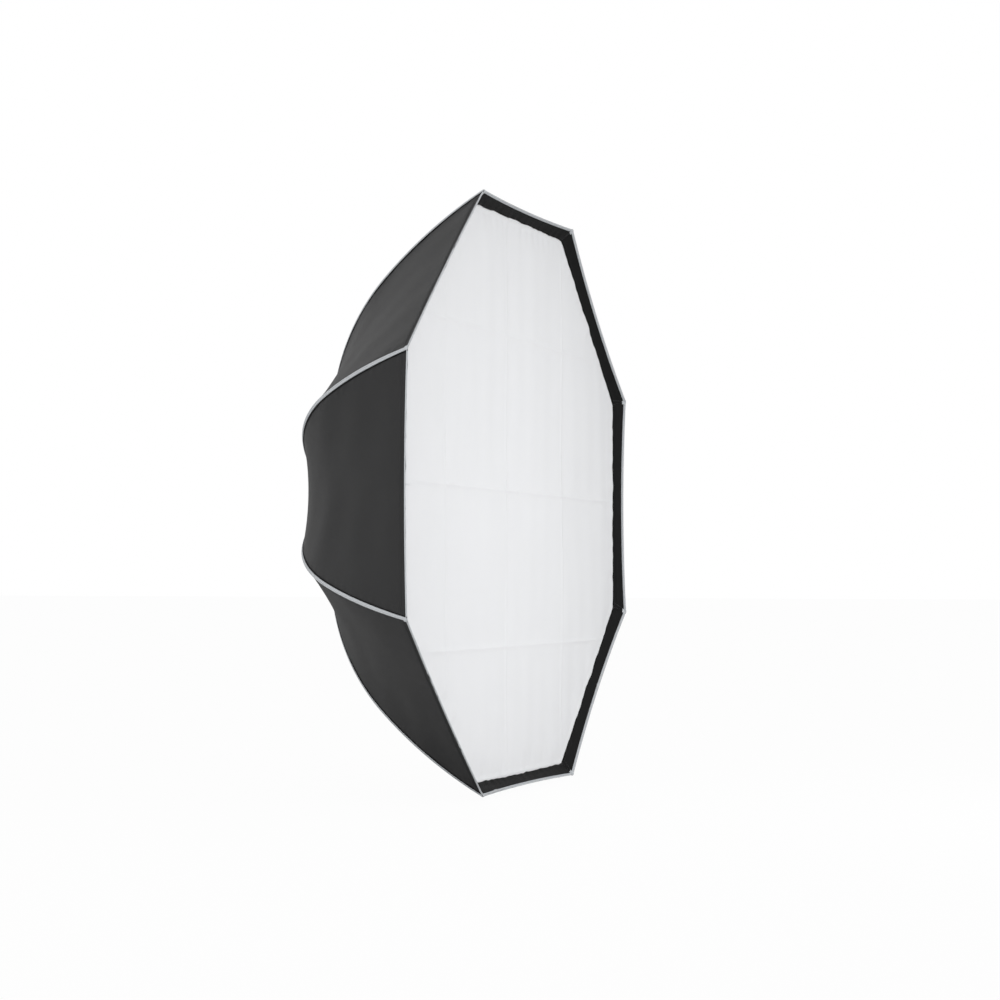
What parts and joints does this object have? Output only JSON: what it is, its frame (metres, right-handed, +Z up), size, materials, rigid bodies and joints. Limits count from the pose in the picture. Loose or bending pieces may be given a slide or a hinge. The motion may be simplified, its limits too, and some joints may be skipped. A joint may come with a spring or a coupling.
{
  "type": "octabox",
  "caption": "Eight-sided deep softbox on an umbrella-like folding frame: bayonet ring, sliding runner, hinged ribs and struts, dark canopy, recessed white front diffuser.",
  "frame": {"origin": "centre of the seat face of the bayonet ring", "axes": "+Y along the lamp axis towards the lamp, the front opening faces -Y, +Z up"},
  "size_m": [1.3858, 0.5648, 1.3858],
  "materials": {
    "canopy_cloth": "dark charcoal woven nylon, silver coated inside",
    "diffuser_cloth": "white translucent diffusion cloth",
    "baffle_cloth": "white translucent cloth",
    "webbing": "black woven webbing",
    "collar_elastic": "black elastic",
    "hub_metal": "black anodised",
    "hub_plastic": "black moulded glass-filled nylon",
    "bayonet_metal": "satin machined",
    "rod_steel": "drawn spring steel",
    "strut_steel": "pressed steel",
    "pin_steel": "bright",
    "button_plastic": "red moulded",
    "spring_steel": "bright"
  },
  "bodies": {
    "root": {"bayonet_ring": "bayonet_metal", "speedring_housing": "hub_plastic", "rib_hinge_ring": "hub_metal", "rib_hinge_pins": "pin_steel", "guide_rods": "pin_steel", "front_stop_ring": "hub_plastic", "ring_screws": "pin_steel", "canopy_collar": "collar_elastic", "button_springs": "spring_steel"},
    "runner": {"runner_ring": "hub_plastic"},
    "button_1": {"release_button_1": "button_plastic"},
    "button_2": {"release_button_2": "button_plastic"},
    "rib_1": {"rib_1": "rod_steel"},
    "rib_2": {"rib_2": "rod_steel"},
    "rib_3": {"rib_3": "rod_steel"},
    "rib_4": {"rib_4": "rod_steel"},
    "rib_5": {"rib_5": "rod_steel"},
    "rib_6": {"rib_6": "rod_steel"},
    "rib_7": {"rib_7": "rod_steel"},
    "rib_8": {"rib_8": "rod_steel"},
    "strut_1": {"strut_1": "strut_steel"},
    "strut_2": {"strut_2": "strut_steel"},
    "strut_3": {"strut_3": "strut_steel"},
    "strut_4": {"strut_4": "strut_steel"},
    "strut_5": {"strut_5": "strut_steel"},
    "strut_6": {"strut_6": "strut_steel"},
    "strut_7": {"strut_7": "strut_steel"},
    "strut_8": {"strut_8": "strut_steel"},
    "gore_1": {"canopy_panel_1": "canopy_cloth"},
    "gore_2": {"canopy_panel_2": "canopy_cloth"},
    "gore_3": {"canopy_panel_3": "canopy_cloth"},
    "gore_4": {"canopy_panel_4": "canopy_cloth"},
    "gore_5": {"canopy_panel_5": "canopy_cloth"},
    "gore_6": {"canopy_panel_6": "canopy_cloth"},
    "gore_7": {"canopy_panel_7": "canopy_cloth"},
    "gore_8": {"canopy_panel_8": "canopy_cloth"},
    "diffuser_tab_1": {"diffuser_tab_1": "webbing"},
    "diffuser_sector_1": {"diffuser_sector_1": "diffuser_cloth"},
    "diffuser_sector_8": {"diffuser_sector_8": "diffuser_cloth"},
    "diffuser_tab_3": {"diffuser_tab_3": "webbing"},
    "diffuser_sector_3": {"diffuser_sector_3": "diffuser_cloth"},
    "diffuser_sector_2": {"diffuser_sector_2": "diffuser_cloth"},
    "diffuser_tab_5": {"diffuser_tab_5": "webbing"},
    "diffuser_sector_5": {"diffuser_sector_5": "diffuser_cloth"},
    "diffuser_sector_4": {"diffuser_sector_4": "diffuser_cloth"},
    "diffuser_tab_7": {"diffuser_tab_7": "webbing"},
    "diffuser_sector_7": {"diffuser_sector_7": "diffuser_cloth"},
    "diffuser_sector_6": {"diffuser_sector_6": "diffuser_cloth"},
    "baffle_strap_1": {"baffle_strap_1": "webbing"},
    "baffle_sector_1": {"baffle_sector_1": "baffle_cloth"},
    "baffle_sector_8": {"baffle_sector_8": "baffle_cloth"},
    "baffle_strap_3": {"baffle_strap_3": "webbing"},
    "baffle_sector_3": {"baffle_sector_3": "baffle_cloth"},
    "baffle_sector_2": {"baffle_sector_2": "baffle_cloth"},
    "baffle_strap_5": {"baffle_strap_5": "webbing"},
    "baffle_sector_5": {"baffle_sector_5": "baffle_cloth"},
    "baffle_sector_4": {"baffle_sector_4": "baffle_cloth"},
    "baffle_strap_7": {"baffle_strap_7": "webbing"},
    "baffle_sector_7": {"baffle_sector_7": "baffle_cloth"},
    "baffle_sector_6": {"baffle_sector_6": "baffle_cloth"}
  },
  "joints": [
    {"name": "runner_slide", "type": "slide", "parent": "root", "child": "runner", "axis": [0, -1, 0], "range_m": [0, 0.11652]},
    {"name": "button_1_press", "type": "slide", "parent": "root", "child": "button_1", "axis": [-1, 0, 0], "range_m": [0, 0.004], "stiffness_N_per_m": 300, "deforming": ["button_springs"]},
    {"name": "button_2_press", "type": "slide", "parent": "root", "child": "button_2", "axis": [1, 0, 0], "range_m": [0, 0.004], "stiffness_N_per_m": 300, "deforming": ["button_springs"]},
    {"name": "rib_1_hinge", "type": "hinge", "parent": "root", "child": "rib_1", "pos_m": [0.0813, -0.04, 0.03368], "axis": [0.3827, 0, -0.9239], "range_deg": [0, 53]},
    {"name": "rib_2_hinge", "type": "hinge", "parent": "root", "child": "rib_2", "pos_m": [0.03368, -0.04, 0.0813], "axis": [0.9239, 0, -0.3827], "range_deg": [0, 53]},
    {"name": "rib_3_hinge", "type": "hinge", "parent": "root", "child": "rib_3", "pos_m": [-0.03368, -0.04, 0.0813], "axis": [0.9239, 0, 0.3827], "range_deg": [0, 53]},
    {"name": "rib_4_hinge", "type": "hinge", "parent": "root", "child": "rib_4", "pos_m": [-0.0813, -0.04, 0.03368], "axis": [0.3827, 0, 0.9239], "range_deg": [0, 53]},
    {"name": "rib_5_hinge", "type": "hinge", "parent": "root", "child": "rib_5", "pos_m": [-0.0813, -0.04, -0.03368], "axis": [-0.3827, 0, 0.9239], "range_deg": [0, 53]},
    {"name": "rib_6_hinge", "type": "hinge", "parent": "root", "child": "rib_6", "pos_m": [-0.03368, -0.04, -0.0813], "axis": [-0.9239, 0, 0.3827], "range_deg": [0, 53]},
    {"name": "rib_7_hinge", "type": "hinge", "parent": "root", "child": "rib_7", "pos_m": [0.03368, -0.04, -0.0813], "axis": [-0.9239, 0, -0.3827], "range_deg": [0, 53]},
    {"name": "rib_8_hinge", "type": "hinge", "parent": "root", "child": "rib_8", "pos_m": [0.0813, -0.04, -0.03368], "axis": [-0.3827, 0, -0.9239], "range_deg": [0, 53]},
    {"name": "strut_1_hinge", "type": "hinge", "parent": "rib_1", "child": "strut_1", "pos_m": [0.16082, -0.06631, 0.06661], "axis": [-0.3827, 0, 0.9239], "range_deg": [0, 106]},
    {"name": "strut_2_hinge", "type": "hinge", "parent": "rib_2", "child": "strut_2", "pos_m": [0.06661, -0.06631, 0.16082], "axis": [-0.9239, 0, 0.3827], "range_deg": [0, 106]},
    {"name": "strut_3_hinge", "type": "hinge", "parent": "rib_3", "child": "strut_3", "pos_m": [-0.06661, -0.06631, 0.16082], "axis": [-0.9239, 0, -0.3827], "range_deg": [0, 106]},
    {"name": "strut_4_hinge", "type": "hinge", "parent": "rib_4", "child": "strut_4", "pos_m": [-0.16082, -0.06631, 0.06661], "axis": [-0.3827, 0, -0.9239], "range_deg": [0, 106]},
    {"name": "strut_5_hinge", "type": "hinge", "parent": "rib_5", "child": "strut_5", "pos_m": [-0.16082, -0.06631, -0.06661], "axis": [0.3827, 0, -0.9239], "range_deg": [0, 106]},
    {"name": "strut_6_hinge", "type": "hinge", "parent": "rib_6", "child": "strut_6", "pos_m": [-0.06661, -0.06631, -0.16082], "axis": [0.9239, 0, -0.3827], "range_deg": [0, 106]},
    {"name": "strut_7_hinge", "type": "hinge", "parent": "rib_7", "child": "strut_7", "pos_m": [0.06661, -0.06631, -0.16082], "axis": [0.9239, 0, 0.3827], "range_deg": [0, 106]},
    {"name": "strut_8_hinge", "type": "hinge", "parent": "rib_8", "child": "strut_8", "pos_m": [0.16082, -0.06631, -0.06661], "axis": [0.3827, 0, 0.9239], "range_deg": [0, 106]},
    {"name": "gore_1_gather", "type": "hinge", "parent": "rib_1", "child": "gore_1", "pos_m": [0.06735, -0.04, 0.06735], "axis": [0.6422, 0.4184, 0.6422], "range_deg": [0, 39.33], "deforming": ["canopy_panel_1"]},
    {"name": "gore_2_gather", "type": "hinge", "parent": "rib_2", "child": "gore_2", "pos_m": [0, -0.04, 0.09525], "axis": [0, 0.4184, 0.9083], "range_deg": [0, 39.33], "deforming": ["canopy_panel_2"]},
    {"name": "gore_3_gather", "type": "hinge", "parent": "rib_3", "child": "gore_3", "pos_m": [-0.06735, -0.04, 0.06735], "axis": [-0.6422, 0.4184, 0.6422], "range_deg": [0, 39.33], "deforming": ["canopy_panel_3"]},
    {"name": "gore_4_gather", "type": "hinge", "parent": "rib_4", "child": "gore_4", "pos_m": [-0.09525, -0.04, 0], "axis": [-0.9083, 0.4184, 0], "range_deg": [0, 39.33], "deforming": ["canopy_panel_4"]},
    {"name": "gore_5_gather", "type": "hinge", "parent": "rib_5", "child": "gore_5", "pos_m": [-0.06735, -0.04, -0.06735], "axis": [-0.6422, 0.4184, -0.6422], "range_deg": [0, 39.33], "deforming": ["canopy_panel_5"]},
    {"name": "gore_6_gather", "type": "hinge", "parent": "rib_6", "child": "gore_6", "pos_m": [0, -0.04, -0.09525], "axis": [0, 0.4184, -0.9083], "range_deg": [0, 39.33], "deforming": ["canopy_panel_6"]},
    {"name": "gore_7_gather", "type": "hinge", "parent": "rib_7", "child": "gore_7", "pos_m": [0.06735, -0.04, -0.06735], "axis": [0.6422, 0.4184, -0.6422], "range_deg": [0, 39.33], "deforming": ["canopy_panel_7"]},
    {"name": "gore_8_gather", "type": "hinge", "parent": "rib_8", "child": "gore_8", "pos_m": [0.09525, -0.04, 0], "axis": [0.9083, 0.4184, 0], "range_deg": [0, 39.33], "deforming": ["canopy_panel_8"]},
    {"name": "diffuser_corner_1_hinge", "type": "hinge", "parent": "rib_1", "child": "diffuser_tab_1", "pos_m": [0.66335, -0.52589, 0.27477], "axis": [0.3827, 0, -0.9239], "range_deg": [0, 30.68]},
    {"name": "diffuser_sector_1_gather", "type": "hinge", "parent": "diffuser_tab_1", "child": "diffuser_sector_1", "pos_m": [0.17267, -0.32391, 0.17267], "axis": [0.5449, 0.6374, 0.5449], "range_deg": [0, 59.16], "deforming": ["diffuser_sector_1"]},
    {"name": "diffuser_sector_8_gather", "type": "hinge", "parent": "diffuser_tab_1", "child": "diffuser_sector_8", "pos_m": [0.24419, -0.32391, 0], "axis": [-0.7706, -0.6374, 0], "range_deg": [0, 59.16], "deforming": ["diffuser_sector_8"]},
    {"name": "diffuser_corner_3_hinge", "type": "hinge", "parent": "rib_3", "child": "diffuser_tab_3", "pos_m": [-0.27477, -0.52589, 0.66335], "axis": [0.9239, 0, 0.3827], "range_deg": [0, 30.68]},
    {"name": "diffuser_sector_3_gather", "type": "hinge", "parent": "diffuser_tab_3", "child": "diffuser_sector_3", "pos_m": [-0.17267, -0.32391, 0.17267], "axis": [-0.5449, 0.6374, 0.5449], "range_deg": [0, 59.16], "deforming": ["diffuser_sector_3"]},
    {"name": "diffuser_sector_2_gather", "type": "hinge", "parent": "diffuser_tab_3", "child": "diffuser_sector_2", "pos_m": [0, -0.32391, 0.24419], "axis": [0, -0.6374, -0.7706], "range_deg": [0, 59.16], "deforming": ["diffuser_sector_2"]},
    {"name": "diffuser_corner_5_hinge", "type": "hinge", "parent": "rib_5", "child": "diffuser_tab_5", "pos_m": [-0.66335, -0.52589, -0.27477], "axis": [-0.3827, 0, 0.9239], "range_deg": [0, 30.68]},
    {"name": "diffuser_sector_5_gather", "type": "hinge", "parent": "diffuser_tab_5", "child": "diffuser_sector_5", "pos_m": [-0.17267, -0.32391, -0.17267], "axis": [-0.5449, 0.6374, -0.5449], "range_deg": [0, 59.16], "deforming": ["diffuser_sector_5"]},
    {"name": "diffuser_sector_4_gather", "type": "hinge", "parent": "diffuser_tab_5", "child": "diffuser_sector_4", "pos_m": [-0.24419, -0.32391, 0], "axis": [0.7706, -0.6374, 0], "range_deg": [0, 59.16], "deforming": ["diffuser_sector_4"]},
    {"name": "diffuser_corner_7_hinge", "type": "hinge", "parent": "rib_7", "child": "diffuser_tab_7", "pos_m": [0.27477, -0.52589, -0.66335], "axis": [-0.9239, 0, -0.3827], "range_deg": [0, 30.68]},
    {"name": "diffuser_sector_7_gather", "type": "hinge", "parent": "diffuser_tab_7", "child": "diffuser_sector_7", "pos_m": [0.17267, -0.32391, -0.17267], "axis": [0.5449, 0.6374, -0.5449], "range_deg": [0, 59.16], "deforming": ["diffuser_sector_7"]},
    {"name": "diffuser_sector_6_gather", "type": "hinge", "parent": "diffuser_tab_7", "child": "diffuser_sector_6", "pos_m": [0, -0.32391, -0.24419], "axis": [0, -0.6374, 0.7706], "range_deg": [0, 59.16], "deforming": ["diffuser_sector_6"]},
    {"name": "baffle_corner_1_hinge", "type": "hinge", "parent": "rib_1", "child": "baffle_strap_1", "pos_m": [0.57188, -0.35339, 0.23688], "axis": [0.3827, 0, -0.9239], "range_deg": [0, 22.28]},
    {"name": "baffle_sector_1_gather", "type": "hinge", "parent": "baffle_strap_1", "child": "baffle_sector_1", "pos_m": [0.14856, -0.20369, 0.14856], "axis": [0.5759, 0.5803, 0.5759], "range_deg": [0, 54.06], "deforming": ["baffle_sector_1"]},
    {"name": "baffle_sector_8_gather", "type": "hinge", "parent": "baffle_strap_1", "child": "baffle_sector_8", "pos_m": [0.2101, -0.20369, 0], "axis": [-0.8144, -0.5803, 0], "range_deg": [0, 54.06], "deforming": ["baffle_sector_8"]},
    {"name": "baffle_corner_3_hinge", "type": "hinge", "parent": "rib_3", "child": "baffle_strap_3", "pos_m": [-0.23688, -0.35339, 0.57188], "axis": [0.9239, 0, 0.3827], "range_deg": [0, 22.28]},
    {"name": "baffle_sector_3_gather", "type": "hinge", "parent": "baffle_strap_3", "child": "baffle_sector_3", "pos_m": [-0.14856, -0.20369, 0.14856], "axis": [-0.5759, 0.5803, 0.5759], "range_deg": [0, 54.06], "deforming": ["baffle_sector_3"]},
    {"name": "baffle_sector_2_gather", "type": "hinge", "parent": "baffle_strap_3", "child": "baffle_sector_2", "pos_m": [0, -0.20369, 0.2101], "axis": [0, -0.5803, -0.8144], "range_deg": [0, 54.06], "deforming": ["baffle_sector_2"]},
    {"name": "baffle_corner_5_hinge", "type": "hinge", "parent": "rib_5", "child": "baffle_strap_5", "pos_m": [-0.57188, -0.35339, -0.23688], "axis": [-0.3827, 0, 0.9239], "range_deg": [0, 22.28]},
    {"name": "baffle_sector_5_gather", "type": "hinge", "parent": "baffle_strap_5", "child": "baffle_sector_5", "pos_m": [-0.14856, -0.20369, -0.14856], "axis": [-0.5759, 0.5803, -0.5759], "range_deg": [0, 54.06], "deforming": ["baffle_sector_5"]},
    {"name": "baffle_sector_4_gather", "type": "hinge", "parent": "baffle_strap_5", "child": "baffle_sector_4", "pos_m": [-0.2101, -0.20369, 0], "axis": [0.8144, -0.5803, 0], "range_deg": [0, 54.06], "deforming": ["baffle_sector_4"]},
    {"name": "baffle_corner_7_hinge", "type": "hinge", "parent": "rib_7", "child": "baffle_strap_7", "pos_m": [0.23688, -0.35339, -0.57188], "axis": [-0.9239, 0, -0.3827], "range_deg": [0, 22.28]},
    {"name": "baffle_sector_7_gather", "type": "hinge", "parent": "baffle_strap_7", "child": "baffle_sector_7", "pos_m": [0.14856, -0.20369, -0.14856], "axis": [0.5759, 0.5803, -0.5759], "range_deg": [0, 54.06], "deforming": ["baffle_sector_7"]},
    {"name": "baffle_sector_6_gather", "type": "hinge", "parent": "baffle_strap_7", "child": "baffle_sector_6", "pos_m": [0, -0.20369, -0.2101], "axis": [0, -0.5803, 0.8144], "range_deg": [0, 54.06], "deforming": ["baffle_sector_6"]}
  ],
  "couplings": [
    {"joint": "rib_1_hinge", "follows": "runner_slide", "rad_per_m": 7.9389},
    {"joint": "rib_2_hinge", "follows": "runner_slide", "rad_per_m": 7.9389},
    {"joint": "rib_3_hinge", "follows": "runner_slide", "rad_per_m": 7.9389},
    {"joint": "rib_4_hinge", "follows": "runner_slide", "rad_per_m": 7.9389},
    {"joint": "rib_5_hinge", "follows": "runner_slide", "rad_per_m": 7.9389},
    {"joint": "rib_6_hinge", "follows": "runner_slide", "rad_per_m": 7.9389},
    {"joint": "rib_7_hinge", "follows": "runner_slide", "rad_per_m": 7.9389},
    {"joint": "rib_8_hinge", "follows": "runner_slide", "rad_per_m": 7.9389},
    {"joint": "strut_1_hinge", "follows": "runner_slide", "rad_per_m": 15.878},
    {"joint": "strut_2_hinge", "follows": "runner_slide", "rad_per_m": 15.878},
    {"joint": "strut_3_hinge", "follows": "runner_slide", "rad_per_m": 15.878},
    {"joint": "strut_4_hinge", "follows": "runner_slide", "rad_per_m": 15.878},
    {"joint": "strut_5_hinge", "follows": "runner_slide", "rad_per_m": 15.878},
    {"joint": "strut_6_hinge", "follows": "runner_slide", "rad_per_m": 15.878},
    {"joint": "strut_7_hinge", "follows": "runner_slide", "rad_per_m": 15.878},
    {"joint": "strut_8_hinge", "follows": "runner_slide", "rad_per_m": 15.878},
    {"joint": "gore_1_gather", "follows": "runner_slide", "rad_per_m": 5.8907},
    {"joint": "gore_2_gather", "follows": "runner_slide", "rad_per_m": 5.8907},
    {"joint": "gore_3_gather", "follows": "runner_slide", "rad_per_m": 5.8907},
    {"joint": "gore_4_gather", "follows": "runner_slide", "rad_per_m": 5.8907},
    {"joint": "gore_5_gather", "follows": "runner_slide", "rad_per_m": 5.8907},
    {"joint": "gore_6_gather", "follows": "runner_slide", "rad_per_m": 5.8907},
    {"joint": "gore_7_gather", "follows": "runner_slide", "rad_per_m": 5.8907},
    {"joint": "gore_8_gather", "follows": "runner_slide", "rad_per_m": 5.8907},
    {"joint": "diffuser_corner_1_hinge", "follows": "runner_slide", "rad_per_m": 4.5949},
    {"joint": "diffuser_sector_1_gather", "follows": "runner_slide", "rad_per_m": 8.861},
    {"joint": "diffuser_sector_8_gather", "follows": "runner_slide", "rad_per_m": 8.861},
    {"joint": "diffuser_corner_3_hinge", "follows": "runner_slide", "rad_per_m": 4.5949},
    {"joint": "diffuser_sector_3_gather", "follows": "runner_slide", "rad_per_m": 8.861},
    {"joint": "diffuser_sector_2_gather", "follows": "runner_slide", "rad_per_m": 8.861},
    {"joint": "diffuser_corner_5_hinge", "follows": "runner_slide", "rad_per_m": 4.5949},
    {"joint": "diffuser_sector_5_gather", "follows": "runner_slide", "rad_per_m": 8.861},
    {"joint": "diffuser_sector_4_gather", "follows": "runner_slide", "rad_per_m": 8.861},
    {"joint": "diffuser_corner_7_hinge", "follows": "runner_slide", "rad_per_m": 4.5949},
    {"joint": "diffuser_sector_7_gather", "follows": "runner_slide", "rad_per_m": 8.861},
    {"joint": "diffuser_sector_6_gather", "follows": "runner_slide", "rad_per_m": 8.861},
    {"joint": "baffle_corner_1_hinge", "follows": "runner_slide", "rad_per_m": 3.3375},
    {"joint": "baffle_sector_1_gather", "follows": "runner_slide", "rad_per_m": 8.0979},
    {"joint": "baffle_sector_8_gather", "follows": "runner_slide", "rad_per_m": 8.0979},
    {"joint": "baffle_corner_3_hinge", "follows": "runner_slide", "rad_per_m": 3.3375},
    {"joint": "baffle_sector_3_gather", "follows": "runner_slide", "rad_per_m": 8.0979},
    {"joint": "baffle_sector_2_gather", "follows": "runner_slide", "rad_per_m": 8.0979},
    {"joint": "baffle_corner_5_hinge", "follows": "runner_slide", "rad_per_m": 3.3375},
    {"joint": "baffle_sector_5_gather", "follows": "runner_slide", "rad_per_m": 8.0979},
    {"joint": "baffle_sector_4_gather", "follows": "runner_slide", "rad_per_m": 8.0979},
    {"joint": "baffle_corner_7_hinge", "follows": "runner_slide", "rad_per_m": 3.3375},
    {"joint": "baffle_sector_7_gather", "follows": "runner_slide", "rad_per_m": 8.0979},
    {"joint": "baffle_sector_6_gather", "follows": "runner_slide", "rad_per_m": 8.0979}
  ]
}
